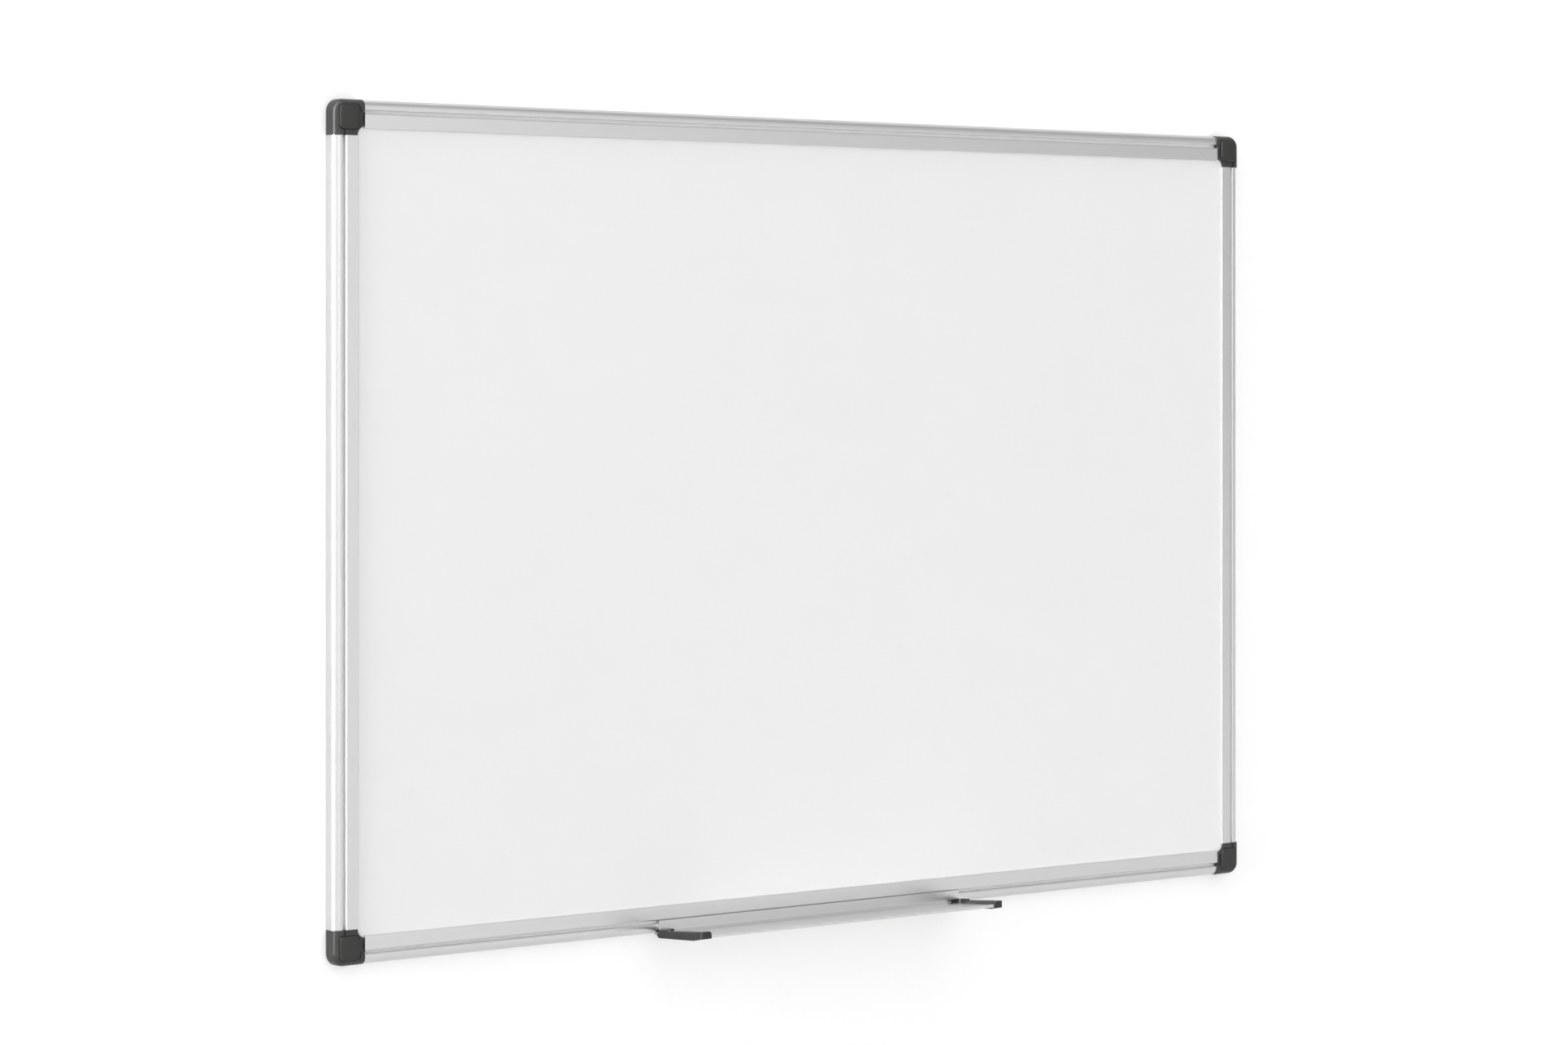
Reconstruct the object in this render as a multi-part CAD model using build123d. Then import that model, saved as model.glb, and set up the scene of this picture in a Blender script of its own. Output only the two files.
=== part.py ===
"""Magnetic whiteboard: lacquered steel sheet on a core, aluminium frame, plastic corners, pen tray.

The origin is the centre of the four wall-screw holes, on the wall plane. X runs to the right,
Z up, and the room is on the -Y side. All sizes are in millimetres.
"""

from build123d import *
from math import radians, sqrt, tan
import os

# The whole board, over the frame
board_width = 900.0
board_height = 600.0

# The sandwich that the frame holds, front to back
sheet_t = 0.4
core_t = 7.6
back_sheet_t = 0.3
panel_front_gap = 0.1
panel_side_gap = 0.3

# Frame rail: a thin-walled extrusion. Across the face it has a shoulder, a crest, a groove and a band.
rail_wall = 1.2
face_width = 20.0
back_flange_width = 16.0
crest_drop = 0.8
shoulder_r = 5.3
groove_start = 7.3
groove_opening = 2.2
groove_undercut = 1.0
groove_depth = 3.2
rail_edge_r = 0.35
lip_edge_r = 1.0

# Corner piece
corner_size = 25.0
corner_proud_side = 0.2
corner_proud_front = 0.4
corner_outer_r = 9.0
corner_shoulder_r = 5.2
bevel_tilt = 30.0
bite_r = 6.3
corner_wall = 1.4
rib_t = 1.2
rib_back_gap = 0.8
leg_length = 28.0
leg_clearance = 0.15
leg_tip_chamfer = 1.0
leg_rim = 1.2
leg_floor_t = 1.4
leg_pockets = 2
cavity_chamfer = 1.5
stub_groove_width = 1.0
stub_groove_depth = 0.9

# Wall-screw post in the corner piece
screw_hole_r = 2.2
head_pocket_r = 4.2
post_wall = 1.0
screw_offset = 3.5
screw_seat_t = 5.6

# Screw cap and the recess that it snaps into
cap_margin = 3.5
cap_end_margin = 3.9
cap_proud = 0.8
cap_gap = 0.25
cap_corner_r = 3.0
cap_edge_chamfer = 0.6
cap_floor_t = 0.6
cap_lift = 0.05
prong_count = 4
prong_width = 2.4
prong_t = 1.0
prong_length = 1.6
prong_clearance = 0.05
scoop_start = 8.5
scoop_length = 9.3
scoop_depth = 1.1
scoop_end_wall = 0.5

# Countersunk screw that holds a rail to a corner's leg
leg_screw_r = 1.3
leg_screw_head_r = 2.6
leg_screw_clearance = 0.05
leg_screw_inset = 8.0
cross_length = 2.6
cross_width = 0.6
cross_depth = 0.7

# Pen tray: hook, flange, leg under the frame, shelf and front lip
tray_length = 298.0
tray_offset = -12.0
tray_wall = 1.2
tray_reach = 60.0
tray_slope = 2.6
tray_gap = 0.15
tray_fillet_r = 3.0
tray_lip_height = 1.4
tray_lip_t = 1.5
tray_leg_reach = 4.8
hook_t = 1.0
hook_barb_t = 0.8
hook_barb_lap = 0.25
tray_edge_r = 0.3

# Tray end cap
end_skin = 1.0
end_arm = 3.5
end_heel = 12.0
end_nose = 9.0
end_nose_t = 0.8
end_heel_t = 3.2
end_nose_wall = 1.9
end_below = 1.95
end_back_height = 2.8
end_heel_step = 0.9
end_heel_reach = 11.5
end_top_slope = 4.4
end_back_reach = 2.1
end_sole_reach = 39.0
end_foot_t = 0.4
end_corner_r = 3.0
end_inner_r = 2.5
end_edge_chamfer = 0.5

# One overrun for every cut that leaves a face
overrun = 1.0

# Depths from the wall, all worked out from the sandwich and the rail wall
panel_back_d = rail_wall
core_back_d = panel_back_d + back_sheet_t
sheet_back_d = core_back_d + core_t
sheet_front_d = sheet_back_d + sheet_t
lip_under_d = sheet_front_d + panel_front_gap
band_d = lip_under_d + rail_wall
crest_d = band_d - crest_drop
groove_floor_d = crest_d - groove_depth

# Distances from the frame's outer edge, across a rail's face
band_start = groove_start + groove_opening
groove_back = band_start + groove_undercut
web_inside = groove_back + rail_wall
chamber_middle = (rail_wall + groove_back) / 2
panel_edge = web_inside + panel_side_gap
screw_inset = web_inside - screw_offset

half_width = board_width / 2
half_height = board_height / 2

# Places in a corner piece, as depths from the wall and distances from the outer edges
corner_front_d = band_d + corner_proud_front
cap_floor_d = lip_under_d + cap_floor_t
cap_top_d = corner_front_d + cap_proud
cavity_top_d = cap_floor_d - corner_wall
leg_low_d = rail_wall + leg_clearance
leg_high_d = groove_floor_d - rail_wall - leg_clearance
cap_size = corner_size - cap_margin - cap_end_margin
post_r = head_pocket_r + post_wall


def round_points(sketch, points, radius):
    """Rounds the sketch's corners that lie at these points."""
    corners = [sketch.vertices().sort_by_distance(Vector(*point, 0))[0] for point in points]
    return fillet(corners, radius)


def block(low, high):
    """A box from its lowest to its highest corner."""
    size = [top - bottom for bottom, top in zip(low, high)]
    return Pos(*low) * Box(*size, align=(Align.MIN, Align.MIN, Align.MIN))


def in_four_corners(make_local):
    """One piece made for the bottom left corner, and its mirror images in the other three."""
    bottom_left = corner_plane.location * make_local
    bottom_right = mirror(bottom_left, about=Plane.YZ)
    top_left = mirror(bottom_left, about=Plane.XY)
    top_right = mirror(bottom_right, about=Plane.XY)
    return {
        "bottom_left": bottom_left,
        "bottom_right": bottom_right,
        "top_left": top_left,
        "top_right": top_right,
    }


# A rail's section is drawn as (distance from the outer edge, depth from the wall).
bottom_rail_plane = Plane(
    origin=(corner_size - half_width, 0, -half_height), x_dir=(0, 0, 1), z_dir=(1, 0, 0)
)
left_rail_plane = Plane(
    origin=(-half_width, 0, half_height - corner_size), x_dir=(1, 0, 0), z_dir=(0, 0, -1)
)
# A corner piece is drawn as (X from the outer edge, Z from the outer edge, depth from the wall).
corner_plane = Plane(origin=(-half_width, 0, -half_height), x_dir=(1, 0, 0), z_dir=(0, -1, 0))


def rail_section():
    """The extrusion's section: one wall folded round a chamber, a hanging groove and the panel's channel."""
    outline = make_face(
        Polyline(
            (0, 0),
            (0, crest_d),
            (groove_start, crest_d),
            (groove_start, groove_floor_d),
            (groove_back, groove_floor_d),
            (groove_back, lip_under_d),
            (band_start, lip_under_d),
            (band_start, band_d),
            (face_width, band_d),
            (face_width, lip_under_d),
            (web_inside, lip_under_d),
            (web_inside, rail_wall),
            (back_flange_width, rail_wall),
            (back_flange_width, 0),
            close=True,
        )
    )
    outline = round_points(outline, [(0, crest_d)], min(shoulder_r, groove_start - rail_edge_r * 2))
    outline = round_points(outline, [(band_start, band_d)], lip_edge_r)
    sharp = [(groove_start, crest_d), (face_width, band_d), (0, 0)]
    outline = round_points(outline, sharp, rail_edge_r)
    neck = groove_start - rail_wall * 2
    chamber = make_face(
        Polyline(
            (rail_wall, rail_wall),
            (rail_wall, crest_d - rail_wall),
            (groove_start - rail_wall, crest_d - rail_wall),
            (groove_start - rail_wall, groove_floor_d - rail_wall),
            (groove_back, groove_floor_d - rail_wall),
            (groove_back, rail_wall),
            close=True,
        )
    )
    chamber = round_points(
        chamber,
        [(rail_wall, crest_d - rail_wall)],
        min(shoulder_r - rail_wall, neck - rail_edge_r),
    )
    return outline - chamber


def leg_screw_seats(length):
    """Countersunk holes in a rail's back wall, one near each end, in the section's own frame."""
    seats = []
    for along in (leg_screw_inset, length - leg_screw_inset):
        cone = Cone(
            leg_screw_head_r + leg_screw_clearance,
            leg_screw_r + leg_screw_clearance,
            rail_wall,
            align=(Align.CENTER, Align.CENTER, Align.MIN),
        )
        seats.append(Pos(chamber_middle, 0, along) * Rot(-90, 0, 0) * cone)
    return seats


def rail(plane, length, seats):
    """A rail cut square at both ends, with the seats of its screws."""
    body = extrude(rail_section(), length)
    for seat in seats:
        body -= seat
    return plane.location * body


def screw_cap_outline(gap):
    """The screw cap's outline, grown by a gap: its inner corner is rounded to clear the bite."""
    size = cap_size + gap * 2
    low = cap_margin - gap
    high = low + size
    to_bite = (corner_size - high) * sqrt(2)
    inner_r = (bite_r + corner_wall - to_bite) / (sqrt(2) - 1)
    inner_r = min(max(inner_r, cap_corner_r), size - cap_corner_r * 2)
    outline = Pos(low + size / 2, low + size / 2) * Rectangle(size, size)
    outline = round_points(outline, [(high, high)], inner_r)
    return round_points(outline, [(low, low), (low, high), (high, low)], cap_corner_r + gap)


def corner_block(inset, height):
    """A square block with one rounded upright edge, an inset inside the corner's outer sides."""
    low = inset - corner_proud_side
    high = corner_size - inset
    size = high - low
    outline = Pos(low + size / 2, low + size / 2) * Rectangle(size, size)
    outline = round_points(outline, [(low, low)], corner_outer_r - inset)
    return extrude(outline, height)


def outer_top_edges(form):
    """The top edges of a corner block along the board's two outer sides, with the arc between them."""
    top = form.edges().group_by(Axis.Z)[-1]
    return [edge for edge in top if min((edge @ 0.5).X, (edge @ 0.5).Y) < corner_outer_r / 2]


def bevelled_shoulder(form):
    """The block with two bevels on its outer top edges, which follow an arc of the shoulder's radius."""
    reach = corner_shoulder_r * (1 - tan(radians(bevel_tilt / 2)))
    drop = reach * tan(radians(bevel_tilt))
    top = form.faces().sort_by(Axis.Z)[-1]
    form = chamfer(outer_top_edges(form), reach, drop, reference=top)
    lower_edges = form.edges().group_by(Axis.Z)[-3]
    return chamfer(lower_edges, reach - drop)


def corner_leg(screwed):
    """A leg that plugs into the chamber of the rail beside the corner, along the local X axis."""
    low = (corner_size - corner_wall, rail_wall + leg_clearance, leg_low_d)
    high = (corner_size + leg_length, groove_back - leg_clearance, leg_high_d)
    leg = block(low, high)
    leg = chamfer(leg.faces().sort_by(Axis.X)[-1].edges(), leg_tip_chamfer)
    solid_length = leg_screw_inset + leg_screw_head_r if screwed else leg_rim
    first = corner_size + solid_length
    pitch = (high[0] - leg_tip_chamfer - first) / leg_pockets
    for pocket in range(leg_pockets):
        start = first + pitch * pocket
        pocket_low = (start, low[1] + leg_rim, leg_low_d + leg_floor_t)
        pocket_high = (start + pitch - leg_rim, high[1] - leg_rim, leg_high_d + overrun)
        leg -= block(pocket_low, pocket_high)
    if screwed:
        pilot = Cylinder(leg_screw_r + leg_screw_clearance, corner_front_d * 2)
        leg -= Pos(corner_size + leg_screw_inset, chamber_middle, 0) * pilot
    return leg


def swapped(shape):
    """The same shape with the local X and Y axes changed over."""
    return mirror(shape, about=Plane(origin=(0, 0, 0), z_dir=(1, -1, 0)))


def prising_scoop():
    """A shallow scoop beside the cap, on the side of the horizontal rail."""
    low = cap_margin + cap_size
    high = corner_size - scoop_end_wall
    radius = (scoop_length**2 / 4 + scoop_depth**2) / (scoop_depth * 2)
    drum = Rot(0, 90, 0) * Cylinder(radius, high - low)
    middle = scoop_start + scoop_length / 2
    return Pos((low + high) / 2, middle, corner_front_d + radius - scoop_depth) * drum


def stub_groove():
    """A short fine groove from the cap's recess to the corner's end, in line with the rail's groove."""
    low = (cap_margin + cap_size, groove_start, corner_front_d - stub_groove_depth)
    high = (corner_size + overrun, groove_start + stub_groove_width, corner_front_d + overrun)
    return block(low, high)


def corner_piece():
    """Moulded corner: shell, screw post with ribs and webs, two legs, cap recess and scoop."""
    body = bevelled_shoulder(corner_block(0, corner_front_d))
    cavity = corner_block(corner_wall, cavity_top_d)
    body -= chamfer(outer_top_edges(cavity), cavity_chamfer)
    post = Pos(screw_inset, screw_inset, 0) * Cylinder(
        post_r, cavity_top_d, align=(Align.CENTER, Align.CENTER, Align.MIN)
    )
    body += post
    inner = corner_size - corner_wall
    for across in (chamber_middle, screw_inset):
        start = corner_wall / 2 if across == screw_inset else screw_inset
        end = screw_inset if across == screw_inset else inner
        rib = block((start, across - rib_t / 2, rib_back_gap), (end, across + rib_t / 2, cavity_top_d))
        body += rib
        body += swapped(rib)
    web = block((screw_inset, web_inside - corner_wall, 0), (inner, web_inside, cavity_top_d))
    body += web
    body += swapped(web)
    body += corner_leg(screwed=True)
    body += swapped(corner_leg(screwed=False))
    channel_end = corner_size + overrun
    body -= block((web_inside, web_inside, -overrun), (channel_end, channel_end, lip_under_d))
    body -= Pos(corner_size, corner_size, 0) * Cylinder(bite_r, corner_front_d * 3)
    body -= Pos(0, 0, cap_floor_d) * extrude(screw_cap_outline(cap_gap), corner_front_d)
    body -= prising_scoop()
    body -= stub_groove()
    body -= swapped(stub_groove())
    hole = Pos(screw_inset, screw_inset, 0) * Cylinder(screw_hole_r, corner_front_d * 2)
    head = Pos(screw_inset, screw_inset, screw_seat_t) * Cylinder(
        head_pocket_r, corner_front_d, align=(Align.CENTER, Align.CENTER, Align.MIN)
    )
    return body - hole - head


def screw_cap():
    """Snap-in cap: a plate with a bevelled edge, and prongs that grip the screw-head pocket."""
    bottom = cap_floor_d + cap_lift
    plate = extrude(screw_cap_outline(0), cap_top_d - bottom)
    plate = chamfer(plate.edges().group_by(Axis.Z)[-1], cap_edge_chamfer)
    reach = sqrt((head_pocket_r - prong_clearance) ** 2 - prong_width**2 / 4)
    prong = block((reach - prong_t, -prong_width / 2, -prong_length), (reach, prong_width / 2, prong_t))
    cap = Pos(0, 0, bottom) * plate
    for number in range(prong_count):
        turn = Rot(0, 0, number * 360 / prong_count)
        cap += Pos(screw_inset, screw_inset, bottom) * turn * prong
    return cap


def leg_screw():
    """Countersunk screw through a level rail into a corner's leg, from the back, with a cross recess."""
    half_section = make_face(
        Polyline(
            (0, 0),
            (leg_screw_head_r, 0),
            (leg_screw_r, rail_wall),
            (leg_screw_r, leg_high_d),
            (0, leg_high_d),
            close=True,
        )
    )
    screw = Rot(90, 0, 0) * revolve(half_section, Axis.Y)
    for turn in (0, 90):
        screw -= Rot(0, 0, turn) * Box(cross_length, cross_width, cross_depth * 2)
    return Pos(corner_size + leg_screw_inset, chamber_middle, 0) * screw


def panel_layer(back_d, front_d):
    """One layer of the sandwich, which fills the frame's channel but for a side gap."""
    layer = Box(board_width - panel_edge * 2, front_d - back_d, board_height - panel_edge * 2)
    return Pos(0, -(back_d + front_d) / 2, 0) * layer


# Sizes of the tray's section, as (height above the frame's bottom edge, depth from the wall)
flange_back_d = crest_d + tray_gap
flange_front_d = flange_back_d + tray_wall
hook_low = groove_start + tray_gap
hook_high = hook_low + hook_t
hook_end_d = groove_floor_d + tray_gap * 2
leg_top = -tray_gap
leg_bottom = leg_top - tray_wall
lip_back_d = tray_reach - tray_lip_t
shelf_rise = tan(radians(tray_slope))
shelf_front = leg_top + (lip_back_d - flange_front_d) * shelf_rise
sole_front = leg_bottom + (tray_reach - flange_front_d) * shelf_rise

# Places in an end cap, in the same frame
end_front_d = tray_reach + end_nose_t
end_heel_end_d = flange_front_d + end_heel_reach
end_top_rise = tan(radians(end_top_slope))
end_sole_back = leg_bottom - end_below
end_heel_top = end_back_height + end_heel_reach * end_top_rise
end_front_top = end_heel_top - end_heel_step + (end_front_d - end_heel_end_d) * end_top_rise


def tray_section():
    """The tray's section: barbed hook, flange, leg under the frame, rising shelf and front lip."""
    outline = make_face(
        Polyline(
            (hook_low, hook_end_d),
            (band_start + hook_barb_lap, hook_end_d),
            (band_start + hook_barb_lap, hook_end_d + hook_barb_t),
            (hook_high, hook_end_d + hook_barb_t),
            (hook_high, flange_front_d),
            (leg_top, flange_front_d),
            (shelf_front, lip_back_d),
            (shelf_front + tray_lip_height, lip_back_d),
            (shelf_front + tray_lip_height, tray_reach),
            (sole_front, tray_reach),
            (leg_bottom, flange_front_d),
            (leg_bottom, tray_leg_reach),
            (leg_top, tray_leg_reach),
            (leg_top, flange_back_d),
            (hook_low, flange_back_d),
            close=True,
        )
    )
    outline = round_points(outline, [(leg_top, flange_front_d)], tray_fillet_r)
    outline = round_points(outline, [(shelf_front, lip_back_d)], tray_lip_height / 2)
    lip_top = shelf_front + tray_lip_height
    outline = round_points(outline, [(lip_top, lip_back_d), (lip_top, tray_reach)], tray_lip_t / 3)
    return round_points(
        outline, [(hook_high, flange_front_d), (sole_front, tray_reach)], tray_edge_r
    )


tray_plane = Plane(
    origin=(tray_offset - tray_length / 2, 0, -half_height), x_dir=(0, 0, 1), z_dir=(1, 0, 0)
)


def pen_tray():
    """The tray's extrusion."""
    return tray_plane.location * extrude(tray_section(), tray_length)


def end_cap_profile():
    """The end cap seen from its end: a rising sole, a swept-up front foot and a raised heel."""
    back_d = flange_front_d - end_back_reach
    behind_top = leg_top - tray_gap
    sole_end_d = flange_front_d + end_sole_reach
    outline = make_face(
        Polyline(
            (end_sole_back, flange_front_d),
            (leg_bottom, back_d),
            (behind_top, back_d),
            (behind_top, flange_front_d),
            (end_back_height, flange_front_d),
            (end_heel_top, end_heel_end_d),
            (end_heel_top - end_heel_step, end_heel_end_d + end_heel_step),
            (end_front_top, end_front_d),
            (sole_front - end_foot_t, end_front_d),
            (end_sole_back + end_sole_reach * shelf_rise, sole_end_d),
            close=True,
        )
    )
    return round_points(outline, [(end_sole_back, flange_front_d)], end_back_reach / 2)


def end_cap_well():
    """The space inside the end cap's C shape, drawn along the tray and away from the wall."""
    back_d = flange_front_d + end_heel_t
    front_d = lip_back_d - end_nose_wall
    length = tray_length
    plan = Pos(end_arm + length / 2, (back_d + front_d) / 2) * Rectangle(length, front_d - back_d)
    plan = round_points(plan, [(end_arm, back_d), (end_arm, front_d)], end_inner_r)
    plan_plane = Plane(origin=(0, 0, 0), x_dir=(0, 0, 1), z_dir=(-1, 0, 0))
    return plan_plane.location * extrude(plan, tray_reach, both=True)


def end_cap():
    """Moulded end cap, from its outer face inwards: skin, arm, heel at the back and nose in front."""
    body = extrude(end_cap_profile(), end_heel)
    front = body.edges().filter_by(Axis.X).group_by(Axis.Y)[-1].sort_by(Axis.Z)[0]
    body = fillet(front, end_corner_r)
    outer = body.faces().sort_by(Axis.Z)[0].edges()
    upper = [edge for edge in outer if (edge @ 0.5).X > 0 and (edge @ 0.5).Y > flange_front_d]
    body = chamfer(upper, end_edge_chamfer)
    body -= end_cap_well()
    past_nose = Pos(0, (end_front_d + flange_front_d) / 2 + tray_reach / 2, end_nose)
    slab = Box(tray_reach, tray_reach, end_heel * 2, align=(Align.CENTER, Align.CENTER, Align.MIN))
    body -= past_nose * slab
    return body - Pos(0, 0, end_skin) * extrude(tray_section(), tray_length)


end_plane = Plane(
    origin=(tray_offset - tray_length / 2 - end_skin, 0, -half_height),
    x_dir=(0, 0, 1),
    z_dir=(1, 0, 0),
)
tray_middle = Plane(origin=(tray_offset, 0, 0), z_dir=(1, 0, 0))

nodes = {
    "writing_sheet": panel_layer(sheet_back_d, sheet_front_d),
    "board_core": panel_layer(core_back_d, sheet_back_d),
    "back_sheet": panel_layer(panel_back_d, core_back_d),
}

level_length = board_width - corner_size * 2
nodes["rail_bottom"] = rail(bottom_rail_plane, level_length, leg_screw_seats(level_length))
nodes["rail_top"] = mirror(nodes["rail_bottom"], about=Plane.XY)
nodes["rail_left"] = rail(left_rail_plane, board_height - corner_size * 2, [])
nodes["rail_right"] = mirror(nodes["rail_left"], about=Plane.YZ)

for kind, piece in {"corner": corner_piece(), "screw_cap": screw_cap()}.items():
    for place, placed in in_four_corners(piece).items():
        nodes[f"{kind}_{place}"] = placed

screws = in_four_corners(leg_screw())
for level in ("bottom", "top"):
    nodes[f"frame_screws_{level}"] = Compound([screws[f"{level}_left"], screws[f"{level}_right"]])

nodes["pen_tray"] = pen_tray()
nodes["tray_end_left"] = end_plane.location * end_cap()
nodes["tray_end_right"] = mirror(nodes["tray_end_left"], about=tray_middle)

os.makedirs("parts", exist_ok=True)
for name, node in nodes.items():
    export_step(node, f"parts/{name}.step")

# How far the tray can slide each way before its end caps meet the corner pieces
tray_left = tray_offset - tray_length / 2 - end_skin
tray_right = tray_offset + tray_length / 2 + end_skin
print("tray travel, mm:", corner_size - half_width - tray_left, half_width - corner_size - tray_right)
print("wall-screw holes, mm:", board_width - screw_inset * 2, board_height - screw_inset * 2)
print("depths, mm:", sheet_front_d, band_d, corner_front_d, cap_top_d, tray_reach + end_nose_t)
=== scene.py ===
"""Magnetic whiteboard on its wall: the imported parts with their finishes, and the finer pieces made here."""

import math

import bmesh
import bpy
import numpy as np
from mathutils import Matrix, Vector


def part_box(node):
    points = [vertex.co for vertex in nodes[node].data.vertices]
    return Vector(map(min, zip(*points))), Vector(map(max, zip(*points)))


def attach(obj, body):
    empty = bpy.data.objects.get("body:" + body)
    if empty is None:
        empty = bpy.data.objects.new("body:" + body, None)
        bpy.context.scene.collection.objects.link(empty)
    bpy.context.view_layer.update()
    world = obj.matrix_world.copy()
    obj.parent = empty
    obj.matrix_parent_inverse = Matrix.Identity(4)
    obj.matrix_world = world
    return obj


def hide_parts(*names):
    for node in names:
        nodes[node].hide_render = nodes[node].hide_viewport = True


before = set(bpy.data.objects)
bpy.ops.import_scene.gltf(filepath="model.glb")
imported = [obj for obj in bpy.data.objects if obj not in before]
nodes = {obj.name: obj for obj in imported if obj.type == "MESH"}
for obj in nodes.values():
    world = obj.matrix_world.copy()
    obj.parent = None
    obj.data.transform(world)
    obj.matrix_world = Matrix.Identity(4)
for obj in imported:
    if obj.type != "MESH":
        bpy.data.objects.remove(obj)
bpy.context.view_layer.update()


# Back sheet: thin steel with a dull zinc coating, glued to the core. The coating froze in flat crystals,
# each a slightly different grey, and rolling left faint lines along the sheet.
class Tone:
    """A shader socket that takes part in expressions: each operator adds its Math node."""

    def __init__(self, tree, socket):
        self.tree = tree
        self.socket = socket

    def add(self, kind, settings=None, sockets=None, out=0):
        """Any node: its type, its settings, which are set first, and its sockets' values or links."""
        made = self.tree.nodes.new("ShaderNode" + kind)
        for name, setting in (settings or {}).items():
            if name == "stops":
                stops = made.color_ramp.elements
                while len(stops) < len(setting):
                    stops.new(1)
                for stop, (place, colour) in zip(stops, setting):
                    stop.position = place
                    stop.color = (*colour, 1)
            else:
                setattr(made, name, setting)
        for name, value in (sockets or {}).items():
            if isinstance(value, Tone):
                self.tree.links.new(value.socket, made.inputs[name])
            else:
                made.inputs[name].default_value = value
        return Tone(self.tree, None if out is None else made.outputs[out])

    def math(self, operation, *values):
        """A Math node on these values."""
        return self.add("Math", {"operation": operation}, dict(enumerate(values)))

    def __add__(self, other):
        return self.math("ADD", self, other)

    __radd__ = __add__

    def __sub__(self, other):
        return self.math("SUBTRACT", self, other)

    def __rsub__(self, other):
        return self.math("SUBTRACT", other, self)

    def __mul__(self, other):
        return self.math("MULTIPLY", self, other)

    __rmul__ = __mul__

    def noise(self, per_unit, detail=3.0, roughness=0.5):
        """Noise from 0 to 1 on this vector, with so many waves to each of its units."""
        sockets = {"Vector": self, "Scale": per_unit, "Detail": detail, "Roughness": roughness}
        return self.add("TexNoise", sockets=sockets)

    def stretched(self, per_metre):
        """This vector with so many units to a metre along each axis, which draws a noise out along some."""
        return self.add("Mapping", sockets={"Vector": self, "Scale": per_metre})

    def between(self, dark, light):
        """The colour this share of the way from dark to light."""
        sockets = {"Factor": self, 6: (*dark, 1), 7: (*light, 1)}
        return self.add("Mix", {"data_type": "RGBA"}, sockets, out=2)

    def bump(self, height):
        """The surface normal for this relief, with its height in metres."""
        return self.add("Bump", sockets={"Height": self, "Distance": height, "Strength": 1.0})


def finish(name, paint, **shader):
    """A material: paint() gets the piece's place as a Tone and returns the sockets that vary over it."""
    material = bpy.data.materials.new(name)
    material.use_nodes = True
    tree = material.node_tree
    principled = tree.nodes["Principled BSDF"]
    for socket, value in shader.items():
        principled.inputs[socket].default_value = value
    place = Tone(tree, None).add("TexCoord", out="Object")
    for socket, value in paint(place).items():
        tree.links.new(value.socket, principled.inputs[socket])
    return material


def dress(material, name):
    """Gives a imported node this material."""
    mesh = nodes[name].data
    mesh.materials.clear()
    mesh.materials.append(material)


zinc_dark, zinc_light = (0.50, 0.52, 0.54), (0.68, 0.70, 0.71)
crystals_per_metre = 95.0
rolling_lines = (3, 1, 900)
fine_relief = 0.00001


def zinc_coating(place):
    """Cells of one grey each, and a noise pressed together across the rolling direction."""
    crystal = place.add("TexVoronoi", sockets={"Vector": place, "Scale": crystals_per_metre}, out="Color")
    shade = crystal.add("SeparateColor", sockets={"Color": crystal}, out="Red")
    rolled = place.stretched(rolling_lines).noise(1.0)
    return {
        "Base Color": (shade * 0.7 + rolled * 0.3).between(zinc_dark, zinc_light),
        "Roughness": shade * 0.16 + 0.34,
        "Normal": rolled.bump(fine_relief),
    }


dress(finish("zinc_coating", zinc_coating, Metallic=1.0), "back_sheet")


# Core: a plain fibreboard panel between the two sheets, which keeps the board flat. It is raw, brown and
# matte, with short fibres that lie in the board's plane.
fibre_dark, fibre_light = (0.30, 0.20, 0.12), (0.66, 0.50, 0.34)
fibres_per_metre = (500, 2600, 900)
fibre_clouds_per_metre = 30.0
fibre_relief = 0.0001


def fibreboard(place):
    """Short fibres, a noise finer through the board than along it, over soft clouds of colour."""
    fibres = place.stretched(fibres_per_metre).noise(1.0, detail=4.0)
    clouds = place.noise(fibre_clouds_per_metre)
    return {
        "Base Color": (fibres * 0.7 + clouds * 0.3).between(fibre_dark, fibre_light),
        "Roughness": fibres * 0.1 + 0.85,
        "Normal": fibres.bump(fibre_relief),
    }


dress(finish("fibreboard", fibreboard), "board_core")


# Writing sheet: thin steel with a white lacquer, smooth and glossy enough to wipe dry. The lacquer has
# a very slight orange peel, and years of wiping leave it a little less even in gloss than in colour.
lacquer_dark, lacquer_light = (0.894, 0.894, 0.896), (0.906, 0.906, 0.908)
wiping_marks = (5, 5, 16)
peel_per_metre, peel_relief = 420.0, 0.000004


def white_lacquer(place):
    """A shallow even relief, with wide level wiping marks in its gloss and, much less, in its white."""
    peel = place.noise(peel_per_metre, detail=2.0)
    wiped = place.stretched(wiping_marks).noise(1.0, detail=5.0, roughness=0.6)
    return {
        "Base Color": wiped.between(lacquer_dark, lacquer_light),
        "Roughness": wiped * 0.1 + 0.16,
        "Normal": peel.bump(peel_relief),
    }


dress(finish("white_lacquer", white_lacquer), "writing_sheet")


# Frame rails: aluminium extrusions with a satin silver anodising. The die left fine lines along each rail,
# so the level rails and the upright ones have their own grain. They are sawn square at both ends, and the
# level ones are drilled and countersunk at the back. Sizes are in millimetres, weld and reliefs in metres.
board_width, board_height = 900.0, 600.0
corner_size = 25.0
rail_wall, rail_face, back_flange = 1.2, 20.0, 16.0
crest, band, lip_under = 10.0, 10.8, 9.6
groove_start, groove_end, groove_back, groove_floor = 7.3, 9.5, 10.5, 6.8
shoulder_r, brow_r, edge_r = 5.3, 1.0, 0.35
seat_r, seat_low_r, seat_inset = 2.65, 1.35, 8.0
seat_points = 48
seat_overrun, chamber_overrun = 0.02, 1.0
beside_arc = 0.05
arc_points, arc_points_per_mm = 7, 4
metres = 0.001
weld = 0.000002
skin_sharp_angle = math.radians(50)
sharp_angle = math.radians(34)
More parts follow.
